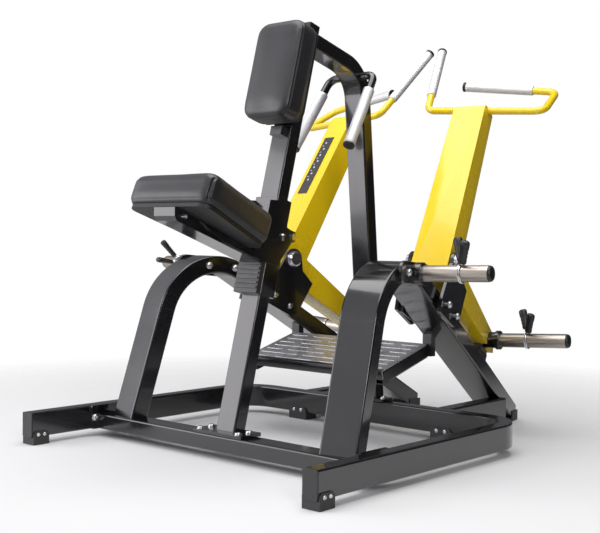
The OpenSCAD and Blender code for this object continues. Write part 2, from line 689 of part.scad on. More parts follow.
module left_lever_arm() lever_arm(-1);
module right_lever_arm() lever_arm(1);
module left_hinge_bushes() hinge_bushes(-1);
module right_hinge_bushes() hinge_bushes(1);
module left_handle_bar() handle_bar(-1);
module right_handle_bar() handle_bar(1);
module left_grips() grips(-1);
module right_grips() grips(1);
module left_grip_caps() grip_caps(-1);
module right_grip_caps() grip_caps(1);
module left_arm_horn() arm_horn(-1);
module right_arm_horn() arm_horn(1);
module left_arm_horn_cap() arm_horn_cap(-1);
module right_arm_horn_cap() arm_horn_cap(1);
module left_storage_clip() storage_clip(-1);
module right_storage_clip() storage_clip(1);
module left_arm_clip() arm_clip(-1);
module right_arm_clip() arm_clip(1);

base_rails();
rail_end_caps();
base_feet();
foot_screws();
front_crossbar();
crossbar_bolts();
rear_stringers();
left_side_frame();
right_side_frame();
beam_end_feet();
storage_horns();
storage_horn_caps();
horn_bolts();
column();
column_bolts();
adjustment_rack();
rear_post();
rear_post_bolts();
fixed_handle();
fixed_grips();
fixed_grip_caps();
chest_pad();
chest_pad_board();
chest_pad_bracket();
footplate();
footplate_frame();
hinge_brackets();
bracket_bolts();
hinge_shafts();
arm_stops();
stop_pads();
seat_carriage();
carriage_liner();
carriage_cover();
carriage_bolts();
seat_board();
seat_pad();
seat_latch();
latch_pin();
left_lever_arm();
left_hinge_bushes();
left_handle_bar();
left_grips();
left_grip_caps();
left_arm_horn();
left_arm_horn_cap();
arm_placard();
right_lever_arm();
right_hinge_bushes();
right_handle_bar();
right_grips();
right_grip_caps();
right_arm_horn();
right_arm_horn_cap();
left_storage_clip();
right_storage_clip();
left_arm_clip();
right_arm_clip();
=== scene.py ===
"""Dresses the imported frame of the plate-loaded seated row: cushions, grips, clips, bolts and materials."""
import json
import math

import bmesh
import bpy
import numpy as np
from mathutils import Matrix, Quaternion, Vector


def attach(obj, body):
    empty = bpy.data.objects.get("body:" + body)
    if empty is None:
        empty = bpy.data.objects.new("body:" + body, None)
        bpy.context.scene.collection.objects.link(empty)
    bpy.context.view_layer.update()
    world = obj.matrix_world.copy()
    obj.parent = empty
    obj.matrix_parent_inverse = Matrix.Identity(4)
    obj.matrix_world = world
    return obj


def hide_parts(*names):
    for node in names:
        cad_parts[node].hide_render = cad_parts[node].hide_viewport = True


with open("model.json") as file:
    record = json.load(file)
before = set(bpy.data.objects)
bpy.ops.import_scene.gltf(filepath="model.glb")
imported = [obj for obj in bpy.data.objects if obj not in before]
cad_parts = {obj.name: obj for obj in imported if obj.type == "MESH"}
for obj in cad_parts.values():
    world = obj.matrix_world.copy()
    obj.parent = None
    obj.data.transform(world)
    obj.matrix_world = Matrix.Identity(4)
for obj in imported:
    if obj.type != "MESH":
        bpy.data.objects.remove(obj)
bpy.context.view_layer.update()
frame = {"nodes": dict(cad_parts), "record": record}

MM = 0.001
NODES = frame["nodes"]
JOINTS = {j["name"]: j for j in frame["record"]["behaviour"]["joints"]}

# The right side frame's own axes, read from the arm's hinge: x runs along the hinge, z is up.
HINGE = JOINTS["right_arm_swing"]
OUT = Vector(HINGE["axis"])
BACK = Vector((-OUT.y, OUT.x, 0))
PIVOT = Vector(HINGE["pos_m"])
PIVOT_X, PIVOT_Y, PIVOT_Z = 390, 220, 605

# How far the frame shifts the part along y to centre it.
CENTRE_Y = -0.1612
COLUMN_UP = Vector(JOINTS["seat_height"]["axis"])
COLUMN_OUT = Vector((0, COLUMN_UP.z, -COLUMN_UP.y))

# The horns, in millimetres of the side frame's axes, and how far out each clip rests on its horn.
STORAGE_FOOT = (450, -81, 578)
STORAGE_TILT = math.radians(1.4)
STORAGE_CLIP_AT = 0.158
ARM_HORN_FOOT = (420, 615, 322)
ARM_HORN_TILT = math.radians(2.5)
ARM_CLIP_AT = 0.160


def at(side, x, y, z):
    """A point of a side frame, given in millimetres of the frame's own axes."""
    p = PIVOT + OUT * (x - PIVOT_X) * MM + BACK * (y - PIVOT_Y) * MM + Vector((0, 0, (z - PIVOT_Z) * MM))
    return Vector((side * p.x, p.y, p.z))


def outward(hand):
    """The way that a side's hinge axis points, away from the middle."""
    return (at(hand, PIVOT_X + 1000, PIVOT_Y, PIVOT_Z) - at(hand, PIVOT_X, PIVOT_Y, PIVOT_Z)).normalized()


def horn_axis(hand, tilt):
    """The way that a horn points: outward, and tilted up so that plates stay on."""
    return outward(hand) * math.cos(tilt) + Vector((0, 0, math.sin(tilt)))


# ---------------------------------------------------------------- camera, floor and light
def make_camera():
    azimuth, tilt, roll = math.radians(41.27), math.radians(1.53), math.radians(0.70)
    ahead = Vector((-math.sin(azimuth) * math.cos(tilt), math.cos(azimuth) * math.cos(tilt), -math.sin(tilt)))
    right = Vector((math.cos(azimuth), math.sin(azimuth), 0))
    up = right.cross(ahead)
    across = right * math.cos(roll) + up * math.sin(roll)
    upright = up * math.cos(roll) - right * math.sin(roll)
    data = bpy.data.cameras.new("camera")
    data.lens = 64.43
    data.sensor_width = 36
    data.clip_end = 100
    cam = bpy.data.objects.new("camera", data)
    bpy.context.scene.collection.objects.link(cam)
    turn = Matrix((across, upright, -ahead)).transposed().to_4x4()
    cam.matrix_world = Matrix.Translation((2.3423, -2.6612 + CENTRE_Y, 0.6818)) @ turn
    bpy.context.scene.camera = cam


def area_light(name, place, target, size, power, colour=(1, 1, 1)):
    data = bpy.data.lights.new(name, "AREA")
    data.shape = "RECTANGLE"
    data.size, data.size_y = size
    data.energy = power
    data.color = colour
    light = bpy.data.objects.new(name, data)
    light.location = place
    light.visible_camera = False
    light.rotation_euler = (Vector(target) - Vector(place)).to_track_quat("-Z", "Y").to_euler()
    bpy.context.scene.collection.objects.link(light)


def make_world():
    """A grey room, bright on the side of the big window-like card, with a white backdrop."""
    world = bpy.data.worlds.new("studio")
    bpy.context.scene.world = world
    world.use_nodes = True
    nodes, links = world.node_tree.nodes, world.node_tree.links
    nodes.clear()
    coords = nodes.new("ShaderNodeTexCoord")
    toward = nodes.new("ShaderNodeVectorMath")
    toward.operation = "DOT_PRODUCT"
    toward.inputs[1].default_value = (-0.66, -0.70, 0.28)
    ramp = nodes.new("ShaderNodeValToRGB")
    stops = ramp.color_ramp.elements
    stops[0].position, stops[0].color = 0.0, (0.03, 0.03, 0.033, 1)
    stops[1].position, stops[1].color = 1.0, (0.95, 0.94, 1.0, 1)
    middle = stops.new(0.62)
    middle.color = (0.16, 0.16, 0.17, 1)
    half = nodes.new("ShaderNodeMath")
    half.operation = "MULTIPLY_ADD"
    half.inputs[1].default_value = 0.5
    half.inputs[2].default_value = 0.5
    glow = nodes.new("ShaderNodeBackground")
    glow.inputs["Strength"].default_value = 1.0
    backdrop = nodes.new("ShaderNodeBackground")
    backdrop.inputs["Color"].default_value = (1, 1, 1, 1)
    backdrop.inputs["Strength"].default_value = 1.0
    seen = nodes.new("ShaderNodeLightPath")
    mix = nodes.new("ShaderNodeMixShader")
    out = nodes.new("ShaderNodeOutputWorld")
    links.new(coords.outputs["Generated"], toward.inputs[0])
    links.new(toward.outputs["Value"], half.inputs[0])
    links.new(half.outputs[0], ramp.inputs[0])
    links.new(ramp.outputs[0], glow.inputs["Color"])
    links.new(seen.outputs["Is Camera Ray"], mix.inputs[0])
    links.new(glow.outputs[0], mix.inputs[1])
    links.new(backdrop.outputs[0], mix.inputs[2])
    links.new(mix.outputs[0], out.inputs["Surface"])


def make_lights():
    area_light("window_card", (-3.1, -3.3, 1.5), (0, -0.2, 0.65), (3.6, 2.8), 80, (1.0, 0.97, 1.0))
    area_light("overhead", (0.3, -0.5, 3.3), (0, -0.2, 0), (2.8, 3.2), 92)
    area_light("fill", (4.4, -3.0, 2.4), (0.1, 0, 0.8), (1.5, 1.5), 62)


def make_floor():
    bm = bmesh.new()
    bmesh.ops.create_circle(bm, cap_ends=True, segments=96, radius=3.4)
    floor = add_mesh("floor", bm)
    look = Look("pale_floor", (0.84, 0.84, 0.84), 0.7)
    reach = look.nodes.new("ShaderNodeVectorMath")
    reach.operation = "LENGTH"
    look.links.new(look.coords, reach.inputs[0])
    look.links.new(look.fit(reach.outputs["Value"], 1.0, 2.6, 1.0, 0.0), look.shader.inputs["Alpha"])
    floor.data.materials.append(look.mat)


# ---------------------------------------------------------------- materials
def new_material(name):
    mat = bpy.data.materials.new(name)
    mat.use_nodes = True
    nodes, links = mat.node_tree.nodes, mat.node_tree.links
    return mat, nodes, links, nodes["Principled BSDF"]


class Look:
    """A principled material with short calls for the textures that drive it."""

    def __init__(self, name, colour, roughness, metallic=0.0):
        self.mat, self.nodes, self.links, self.shader = new_material(name)
        self.set("Base Color", (*colour, 1))
        self.set("Roughness", roughness)
        self.set("Metallic", metallic)
        self.coords = self.nodes.new("ShaderNodeTexCoord").outputs["Object"]
        self.normal = None

    def set(self, socket, value):
        self.shader.inputs[socket].default_value = value

    def stretched(self, scale):
        mapping = self.nodes.new("ShaderNodeMapping")
        mapping.inputs["Scale"].default_value = scale
        self.links.new(self.coords, mapping.inputs["Vector"])
        return mapping.outputs[0]

    def noise(self, scale, detail=4.0, roughness=0.55, stretch=None):
        node = self.nodes.new("ShaderNodeTexNoise")
        node.inputs["Scale"].default_value = scale
        node.inputs["Detail"].default_value = detail
        node.inputs["Roughness"].default_value = roughness
        self.links.new(self.stretched(stretch) if stretch else self.coords, node.inputs["Vector"])
        return node.outputs["Fac"]

    def cells(self, scale):
        node = self.nodes.new("ShaderNodeTexVoronoi")
        node.inputs["Scale"].default_value = scale
        self.links.new(self.coords, node.inputs["Vector"])
        return node.outputs["Distance"]

    def edges(self):
        return self.nodes.new("ShaderNodeNewGeometry").outputs["Pointiness"]

    def fit(self, value, low, high, to_low, to_high):
        node = self.nodes.new("ShaderNodeMapRange")
        for socket, number in zip(("From Min", "From Max", "To Min", "To Max"), (low, high, to_low, to_high)):
            node.inputs[socket].default_value = number
        self.links.new(value, node.inputs["Value"])
        return node.outputs[0]

    def product(self, a, b):
        node = self.nodes.new("ShaderNodeMath")
        node.operation = "MULTIPLY"
        self.links.new(a, node.inputs[0])
        self.links.new(b, node.inputs[1])
        return node.outputs[0]

    def tint(self, amount, colour):
        """Mixes another colour over the base colour by a texture."""
        mix = self.nodes.new("ShaderNodeMix")
        mix.data_type = "RGBA"
        mix.inputs["B"].default_value = (*colour, 1)
        base = self.shader.inputs["Base Color"]
        if base.is_linked:
            self.links.new(base.links[0].from_socket, mix.inputs["A"])
        else:
            mix.inputs["A"].default_value = base.default_value
        self.links.new(amount, mix.inputs["Factor"])
        self.links.new(mix.outputs["Result"], base)

    def rough(self, texture):
        self.links.new(texture, self.shader.inputs["Roughness"])

    def round_edges(self, radius):
        node = self.nodes.new("ShaderNodeBevel")
        node.samples = 4
        node.inputs["Radius"].default_value = radius
        self.normal = node.outputs[0]
        self.links.new(self.normal, self.shader.inputs["Normal"])

    def bump(self, height, strength, distance):
        node = self.nodes.new("ShaderNodeBump")
        node.inputs["Strength"].default_value = strength
        node.inputs["Distance"].default_value = distance
        self.links.new(height, node.inputs["Height"])
        if self.normal:
            self.links.new(self.normal, node.inputs["Normal"])
        self.normal = node.outputs[0]
        self.links.new(self.normal, self.shader.inputs["Normal"])


def powder_coat(name, colour, roughness, wear_and_highlight_colour, dust_colour, coat=0.7):
    """Gloss powder coat: orange peel, faint dust, and edges tinted lighter, partly as rubbed wear and partly
    as a painted highlight.
    """
    look = Look(name, colour, roughness)
    look.set("Coat Weight", coat)
    look.set("Coat Roughness", 0.07)
    look.set("Specular IOR Level", 0.6)
    look.round_edges(0.0022)
    look.bump(look.noise(380, 2.0), 0.08, 0.0006)
    look.rough(look.fit(look.noise(7, 5.0), 0.3, 0.7, roughness - 0.05, roughness + 0.08))
    look.tint(look.fit(look.noise(4.5, 6.0, 0.65), 0.55, 0.9, 0.0, 0.15), dust_colour)
    # Edges made lighter by pointiness: partly rubbed wear, partly a painted highlight along the edges.
    look.tint(look.product(look.fit(look.edges(), 0.60, 0.72, 0.0, 0.6), look.noise(60, 5.0)), wear_and_highlight_colour)
    return look.mat


def leatherette():
    look = Look("leatherette", (0.013, 0.0125, 0.015), 0.36)
    look.set("Sheen Weight", 0.10)
    look.set("Sheen Roughness", 0.45)
    look.set("Specular IOR Level", 0.65)
    look.tint(look.fit(look.noise(9, 5.0), 0.5, 0.85, 0.0, 0.35), (0.028, 0.027, 0.031))
    look.rough(look.fit(look.noise(16, 4.0), 0.3, 0.7, 0.30, 0.42))
    look.bump(look.noise(20, 3.0), 0.12, 0.003)
    look.bump(look.cells(700), 0.22, 0.0004)
    look.bump(look.noise(1500, 2.0), 0.12, 0.0002)
    return look.mat


def moulded(name, colour, roughness, grain):
    look = Look(name, colour, roughness)
    look.round_edges(0.0012)
    look.rough(look.fit(look.noise(35, 4.0), 0.3, 0.7, roughness - 0.07, roughness + 0.08))
    look.tint(look.fit(look.noise(24, 6.0), 0.5, 0.8, 0.0, 0.35), tuple(c * 2.0 + 0.006 for c in colour))
    look.tint(look.fit(look.edges(), 0.53, 0.65, 0.0, 0.3), (0.10, 0.10, 0.10))
    look.bump(look.noise(grain, 3.0), 0.2, 0.0004)
    return look.mat


def metal(name, colour, roughness, scratch=0.0, grime=0.25, metallic=1.0, grain=150):
    """Turned, drawn or plated metal: a fine change of gloss, faint smudges and, on some, small scratches."""
    look = Look(name, colour, roughness, metallic)
    lines = look.noise(grain, 3.0, 0.6)
    look.rough(look.fit(lines, 0.3, 0.7, roughness - 0.015, roughness + 0.02))
    look.tint(look.fit(look.noise(16, 5.0, 0.6), 0.5, 0.9, 0.0, grime), tuple(c * 0.55 for c in colour))
    if scratch:
        look.bump(lines, scratch, 0.0003)
    return look.mat


def board_paint():
    look = Look("painted_board", (0.010, 0.0095, 0.009), 0.5)
    look.tint(look.fit(look.noise(70, 4.0, 0.6, (1, 14, 14)), 0.5, 0.7, 0.0, 0.4), (0.03, 0.028, 0.025))
    look.bump(look.noise(60, 5.0, 0.6, (1, 16, 16)), 0.25, 0.0006)
    return look.mat


def liner_plastic():
    look = Look("liner_nylon", (0.70, 0.69, 0.64), 0.5)
    look.set("Subsurface Weight", 0.08)
    look.rough(look.fit(look.noise(50, 4.0), 0.3, 0.7, 0.42, 0.58))
    look.bump(look.noise(300, 2.0), 0.1, 0.0004)
    return look.mat


def tread_metal():
    look = Look("tread_plate", (0.42, 0.415, 0.43), 0.32, 0.85)
    look.round_edges(0.001)
    look.tint(look.fit(look.noise(12, 7.0, 0.7), 0.48, 0.8, 0.0, 0.55), (0.13, 0.13, 0.14))
    rubbed = look.product(look.fit(look.edges(), 0.5, 0.6, 0.0, 1.0), look.noise(90, 3.0))
    look.tint(rubbed, (0.85, 0.85, 0.87))
    look.rough(look.fit(look.noise(22, 6.0), 0.3, 0.7, 0.24, 0.44))
    look.bump(look.noise(260, 3.0), 0.12, 0.0005)
    return look.mat


def printed_plate():
    look = Look("placard_print", (0.020, 0.020, 0.024), 0.28)
    look.set("Coat Weight", 0.4)
    look.rough(look.fit(look.noise(30, 4.0), 0.3, 0.7, 0.22, 0.36))
    look.tint(look.fit(look.noise(40, 5.0), 0.55, 0.85, 0.0, 0.3), (0.06, 0.06, 0.065))
    look.bump(look.noise(300, 2.0), 0.08, 0.0003)
    return look.mat


def printed_marks():
    look = Look("placard_marks", (0.62, 0.62, 0.60), 0.35)
    look.rough(look.fit(look.noise(60, 4.0), 0.3, 0.7, 0.3, 0.45))
    look.tint(look.fit(look.noise(90, 5.0), 0.5, 0.8, 0.0, 0.5), (0.35, 0.35, 0.34))
    return look.mat


# The edge colours below are partly rubbed wear and partly a painted edge highlight.
BLACK = powder_coat("black_powder_coat", (0.0055, 0.0055, 0.007), 0.17,
                    wear_and_highlight_colour=(0.07, 0.07, 0.075), dust_colour=(0.022, 0.021, 0.024))
YELLOW = powder_coat("yellow_powder_coat", (0.91, 0.63, 0.004), 0.24,
                     wear_and_highlight_colour=(0.98, 0.88, 0.35), dust_colour=(0.80, 0.55, 0.01), coat=0.35)
LEATHER = leatherette()
PLASTIC = moulded("black_plastic", (0.010, 0.010, 0.011), 0.34, 700)
RUBBER = moulded("black_rubber", (0.012, 0.012, 0.0125), 0.55, 420)
GRIP_METAL = metal("grip_aluminium", (0.74, 0.74, 0.77), 0.42, grime=0.08, metallic=0.6)
HORN_METAL = metal("horn_nickel", (0.47, 0.42, 0.37), 0.33, grime=0.06)
CHROME = metal("clip_chrome", (0.82, 0.82, 0.84), 0.12, scratch=0.02, grime=0.1)
BOLT_METAL = metal("bolt_zinc", (0.78, 0.78, 0.80), 0.20, scratch=0.05, grime=0.2)
HUB_METAL = metal("hub_steel", (0.66, 0.65, 0.70), 0.22, scratch=0.08, grime=0.2, grain=450)
BRONZE = metal("bush_bronze", (0.50, 0.34, 0.16), 0.38, scratch=0.10)
BOARD = board_paint()
LINER = liner_plastic()
TREAD = tread_metal()
PRINT = printed_plate()
MARKS = printed_marks()
SLOT_LOOKS = {
    "frame_paint": BLACK, "arm_paint": YELLOW, "fluted_grip": GRIP_METAL, "moulded_plastic": PLASTIC,
    "liner_plastic": LINER, "rubber_foot": RUBBER, "horn_steel": HORN_METAL, "bolt_steel": BOLT_METAL,
    "hub_steel": HUB_METAL, "bush_bronze": BRONZE, "spring_wire": CHROME, "leatherette": LEATHER,
    "board": BOARD, "tread_plate": TREAD, "placard": PRINT,
}
NODE_SLOT = {s["node"]: s["material_slot"] for s in frame["record"]["subparts"]}
NODE_BODY = {n: b for b, names in frame["record"]["behaviour"]["bodies"].items() for n in names}


# ---------------------------------------------------------------- mesh helpers
def add_mesh(name, bm, angle=0.6):
    """A new object from a bmesh, smooth but for edges sharper than angle."""
    mesh = bpy.data.meshes.new(name)
    bmesh.ops.recalc_face_normals(bm, faces=bm.faces)
    bm.to_mesh(mesh)
    bm.free()
    piece = bpy.data.objects.new(name, mesh)
    bpy.context.scene.collection.objects.link(piece)
    mesh.shade_smooth()
    mesh.set_sharp_from_angle(angle=angle)
    return piece


def finish_piece(piece, body, look, slot, *nodes):
    """Gives a piece its material and its body, and hides the CAD nodes that it stands for. The slot argument
    is not used.
    """
    piece.data.materials.clear()
    piece.data.materials.append(look)
    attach(piece, body)
    if nodes:
        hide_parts(*nodes)
    return piece


def islands(node):
    """The separate solids of a CAD node, as arrays of points."""
    bm = bmesh.new()
    bm.from_mesh(NODES[node].data)
    bmesh.ops.remove_doubles(bm, verts=bm.verts, dist=1e-6)
    found, seen = [], set()
    for start in bm.verts:
        if start.index in seen:
            continue
        stack, group = [start], []
        seen.add(start.index)
        while stack:
            vert = stack.pop()
            group.append(vert.co[:])
            for edge in vert.link_edges:
                other = edge.other_vert(vert)
                if other.index not in seen:
                    seen.add(other.index)
                    stack.append(other)
        found.append(np.array(group))
    bm.free()
    return found


def long_axis(points):
    """Centre, unit direction and half length of a long solid."""
    centre = points.mean(0)
    direction = np.linalg.svd(points - centre, full_matrices=False)[2][0]
    along = (points - centre) @ direction
    middle = centre + direction * (along.max() + along.min()) / 2
    return Vector(middle), Vector(direction), (along.max() - along.min()) / 2


def side_axes(direction):
    """Two unit directions square to a given one."""
    direction = direction.normalized()
    first = direction.orthogonal().normalized()
    return first, direction.cross(first)


def loft(bm, rings):
    """Joins rings of points with quads and caps both ends."""
    verts = [[bm.verts.new(p) for p in ring] for ring in rings]
    for a, b in zip(verts, verts[1:]):
        for i in range(len(a)):
            j = (i + 1) % len(a)
            bm.faces.new((a[i], a[j], b[j], b[i]))
    bm.faces.new(verts[0][::-1])
    bm.faces.new(verts[-1])


def turned(bm, foot, direction, profile, segments=32, shape=None, first=None):
    """A turned solid: profile is (radius, distance) pairs along direction; shape may vary the radius."""
    if first is None:
        first = side_axes(direction)[0]
    first = (first - direction * first.dot(direction)).normalized()
    second = direction.cross(first)
    rings = []
    for radius, distance in profile:
        ring = []
        for i in range(segments):
            angle = 2 * math.pi * i / segments
            r = radius * (shape(angle) if shape else 1)
            ring.append(foot + direction * distance
                        + first * r * math.cos(angle) + second * r * math.sin(angle))
        rings.append(ring)
    loft(bm, rings)


def swept(bm, path, radius, sides):
    """A round bar through the points of a path."""
    rings, side = [], None
    for i, p in enumerate(path):
        direction = (path[min(i + 1, len(path) - 1)] - path[max(i - 1, 0)]).normalized()
        side = side or direction.orthogonal()
        side = (side - direction * side.dot(direction)).normalized()
        other = direction.cross(side)
        rings.append([p + side * radius * math.cos(a) + other * radius * math.sin(a)
                      for a in (2 * math.pi * k / sides for k in range(sides))])
    loft(bm, rings)


# ---------------------------------------------------------------- cushions
# The seat slopes down towards the column. A pad starts at SHRINK of its width and is held below HELD_HEIGHT.
SEAT_SLOPE = math.radians(21.5)
SHRINK = 0.985
CLOTH_MESH = 0.0055
CLOTH_FRAMES = 20
HELD_HEIGHT = 0.010


def cushion(node, name, face, pressure, cap, edge, crown, wrap):
    """Inflates a copy of a CAD pad as cloth, held where it rests on its board. face points off the board.

    cap is how far a point may swell, edge how round the edges start, crown how far the middle stands above
    the two sides, and wrap how far the cover goes down over the board.
    """
    mesh = NODES[node].data.copy()
    piece = bpy.data.objects.new(name, mesh)
    bpy.context.scene.collection.objects.link(piece)
    points = np.array([v.co for v in mesh.vertices])
    depth = points @ np.array(face)
    base = depth.min()
    tall = depth.max() - base
    half = np.abs(points[:, 0]).max()
    centre = Vector(points.mean(0))
    bm = bmesh.new()
    bm.from_mesh(mesh)
    bmesh.ops.remove_doubles(bm, verts=bm.verts, dist=1e-6)
    bmesh.ops.dissolve_limit(bm, angle_limit=0.02, verts=bm.verts, edges=bm.edges)
    for vert in bm.verts:
        from_centre = vert.co - centre
        upward = face * from_centre.dot(face)
        above = vert.co.dot(face) - base
        vert.co = centre + upward + (from_centre - upward) * SHRINK
        if above < 0.003:
            vert.co -= face * wrap
        elif above > 0.5 * tall:
            vert.co += face * crown * (1 - (vert.co.x / half) ** 2) * above / tall
    bm.to_mesh(mesh)
    bm.free()
    bpy.context.view_layer.objects.active = piece
    bevel = piece.modifiers.new("edge", "BEVEL")
    bevel.width = edge
    bevel.segments = 4
    bevel.limit_method = "ANGLE"
    bevel.angle_limit = 0.8
    remesh = piece.modifiers.new("cloth_mesh", "REMESH")
    remesh.mode = "VOXEL"
    remesh.voxel_size = CLOTH_MESH
    settle(piece)
    mesh = piece.data
    rest = np.array([v.co for v in mesh.vertices])
    normals = np.array([v.vector for v in mesh.vertex_normals])
    height = rest @ np.array(face) - base
    hold = piece.vertex_groups.new(name="hold")
    hold.add([i for i, h in enumerate(height) if h < HELD_HEIGHT], 1.0, "REPLACE")
    cloth = piece.modifiers.new("cloth", "CLOTH")
    options = cloth.settings
    options.quality = 6
    options.mass = 0.3
    options.tension_stiffness = options.compression_stiffness = 18
    options.shear_stiffness = 6
    options.bending_stiffness = 1.5
    options.use_pressure = True
    options.uniform_pressure_force = pressure
    options.vertex_group_mass = "hold"
    options.effector_weights.gravity = 0
    for number in range(1, CLOTH_FRAMES + 1):
        bpy.context.scene.frame_set(number)
    settle(piece)
    bpy.context.scene.frame_set(1)
    mesh = piece.data
    moved = np.array([v.co for v in mesh.vertices])
    swell = np.clip(((moved - rest) * normals).sum(1), 0, cap)
    moved = rest + normals * soften(mesh, swell, 30)[:, None]
    mesh.vertices.foreach_set("co", moved.ravel())
    smooth = piece.modifiers.new("relax", "SMOOTH")
    smooth.iterations = 9
    smooth.factor = 0.6
    fine = piece.modifiers.new("fine", "SUBSURF")
    fine.levels = fine.render_levels = 1
    settle(piece)
    piece.data.shade_smooth()
    return piece, base


def soften(mesh, field, rounds):
    """Averages a value per vertex with its neighbours', so that the swell stays and the buckles go."""
    pairs = np.empty(len(mesh.edges) * 2, int)
    mesh.edges.foreach_get("vertices", pairs)
    one, two = pairs.reshape(-1, 2).T
    count = np.maximum(np.bincount(pairs, minlength=len(field)), 1)
    for _ in range(rounds):
        total = np.bincount(one, field[two], len(field)) + np.bincount(two, field[one], len(field))
        field = 0.4 * field + 0.6 * total / count
    return field


def settle(piece):
    """Applies every modifier of a piece."""
    graph = bpy.context.evaluated_depsgraph_get()
    result = bpy.data.meshes.new_from_object(piece.evaluated_get(graph))
    piece.modifiers.clear()
    piece.data = result


def sew(piece, seams):
    """Presses narrow seams into a cushion, each with a soft pucker either side.

    A seam is its distance as a function of place, its depth and width, and a mask by place and normal.
    """
    pucker_rise, pucker_at, pucker_width = 0.35, 2.2, 1.2
    mesh = piece.data
    count = len(mesh.vertices)
    co = np.empty(count * 3)
    nor = np.empty(count * 3)
    mesh.vertices.foreach_get("co", co)
    mesh.vertex_normals.foreach_get("vector", nor)
    co, nor = co.reshape(-1, 3), nor.reshape(-1, 3)
    push = np.zeros(count)
    for distance, deep, width, mask in seams:
        d = distance(co)
        m = mask(co, nor)
        beside = (np.abs(d) - pucker_at * width) / (pucker_width * width)
        push -= m * deep * np.exp(-((d / width) ** 2))
        push += m * deep * pucker_rise * np.exp(-(beside ** 2))
    mesh.vertices.foreach_set("co", (co + nor * push[:, None]).ravel())
    mesh.update()


def level_seam(face, level, deep, width, steepest):
    """A seam all round a cushion at one level over its board, on sides that face away from it enough."""
    def distance(co):
        return co @ face - level

    def on_side(co, nor):
        return np.clip((steepest - np.abs(nor @ face)) / 0.2, 0, 1)

    return distance, deep, width, on_side


def make_seat():
    face = Vector((0, math.sin(SEAT_SLOPE), math.cos(SEAT_SLOPE)))
    ahead = Vector((0, math.cos(SEAT_SLOPE), -math.sin(SEAT_SLOPE)))
    piece, base = cushion("seat_pad", "seat_cushion", face,
                          pressure=6.0, cap=0.012, edge=0.022, crown=0.010, wrap=0.003)
    rear = min(Vector(v.co).dot(ahead) for v in NODES["seat_pad"].data.vertices)
    f, a = np.array(face), np.array(ahead)
    corner_x, rear_reach = 0.166, 0.022

    def from_corner(co):
        return np.abs(co[:, 0]) - corner_x

    def at_corner(co, nor):
        upright = np.clip((0.55 - np.abs(nor @ f)) / 0.3, 0, 1)
        return upright * ((co @ a - rear) < rear_reach)

    sew(piece, [level_seam(f, base + 0.011, 0.0007, 0.0030, 0.75), (from_corner, 0.0034, 0.0026, at_corner)])
    finish_piece(piece, "seat", LEATHER, "leatherette", "seat_pad")


def make_chest_pad():
    face = -COLUMN_OUT
    piece, base = cushion("chest_pad", "chest_cushion", face,
                          pressure=4.0, cap=0.007, edge=0.020, crown=0, wrap=0.010)
    f = np.array(face)
    sew(piece, [level_seam(f, base + 0.010, 0.0007, 0.0030, 0.75),
                level_seam(f, base + 0.066, 0.0018, 0.0018, 0.85)])
    finish_piece(piece, "frame", LEATHER, "leatherette", "chest_pad")


# ---------------------------------------------------------------- grips, bolts and clips
FLUTES = 26


def fluted(angle):
    return 1 - 0.035 * (0.5 + 0.5 * math.cos(FLUTES * angle)) ** 2


def make_grips(node, name):
    """Fluted sleeves with plain, slightly rounded ends."""
    plain_end, lip, steps = 0.012, 0.002, 10
    bm = bmesh.new()
    for points in islands(node):
        middle, direction, half = long_axis(points)
        radius = np.linalg.norm(np.cross(points - np.array(middle), np.array(direction)), axis=1).max()
        foot = middle - direction * half
        length = 2 * half
        profile = [(radius * 0.80, 0), (radius * 0.95, 0.0006), (radius, lip), (radius, plain_end)]
        profile += [(radius, plain_end + (length - 2 * plain_end) * i / steps) for i in range(1, steps + 1)]
        profile += [(radius, length - lip), (radius * 0.95, length - 0.0006), (radius * 0.80, length)]
        turned(bm, foot, direction, profile, FLUTES * 6, fluted)
    piece = add_mesh(name, bm, angle=1.2)
    return finish_piece(piece, NODE_BODY[node], GRIP_METAL, NODE_SLOT[node], node)


def make_caps(node, name, wears):
    """Domed end plugs with a raised rim, each pointing away from what it closes."""
    profile = [(0.9, 0), (1, 0.08), (1, 0.5), (0.98, 0.66), (0.92, 0.82), (0.80, 0.92), (0.74, 0.88),
               (0.4, 0.95), (0.1, 0.97)]
    bm = bmesh.new()
    for points in islands(node):
        centre = points.mean(0)
        direction = np.linalg.svd(points - centre, full_matrices=False)[2][2]
        along = (points - centre) @ direction
        middle = Vector(centre + direction * (along.max() + along.min()) / 2)
        thick = along.max() - along.min()
        radius = np.linalg.norm(np.cross(points - centre, direction), axis=1).max()
        closes = min((Vector(p.mean(0)) for p in islands(wears)), key=lambda c: (c - middle).length)
        ahead = Vector(direction)
        if (middle - closes).dot(ahead) < 0:
            ahead = -ahead
        turned(bm, middle - ahead * thick / 2, ahead, [(r * radius, d * thick) for r, d in profile], 40)
    piece = add_mesh(name, bm)
    return finish_piece(piece, NODE_BODY[node], PLASTIC, NODE_SLOT[node], node)


def socket_head(bm, place, up, r):
    """A washer and a button head with a hexagon socket."""
    turned(bm, place, up, [(2.1 * r, 0), (2.1 * r, 0.25 * r), (1.95 * r, 0.33 * r), (0.9 * r, 0.33 * r)], 28)
    first, second = side_axes(up)
    rings = []
    dome = [(1.70, 0.30), (1.74, 0.42), (1.72, 0.70), (1.60, 1.00), (1.38, 1.24), (1.10, 1.38), (0.92, 1.42)]
    for radius, rise in dome:
        rings.append([place + up * rise * r + (first * math.cos(a) + second * math.sin(a)) * radius * r
                      for a in (2 * math.pi * k / 24 for k in range(24))])
    for radius, rise in [(0.78, 1.40), (0.76, 0.72)]:
        ring = []
        for k in range(24):
            a = 2 * math.pi * k / 24
            flat = math.cos(math.pi / 6) / math.cos((a % (math.pi / 3)) - math.pi / 6)
            around = first * math.cos(a) + second * math.sin(a)
            ring.append(place + up * rise * r + around * radius * r * flat)
        rings.append(ring)
    loft(bm, rings)


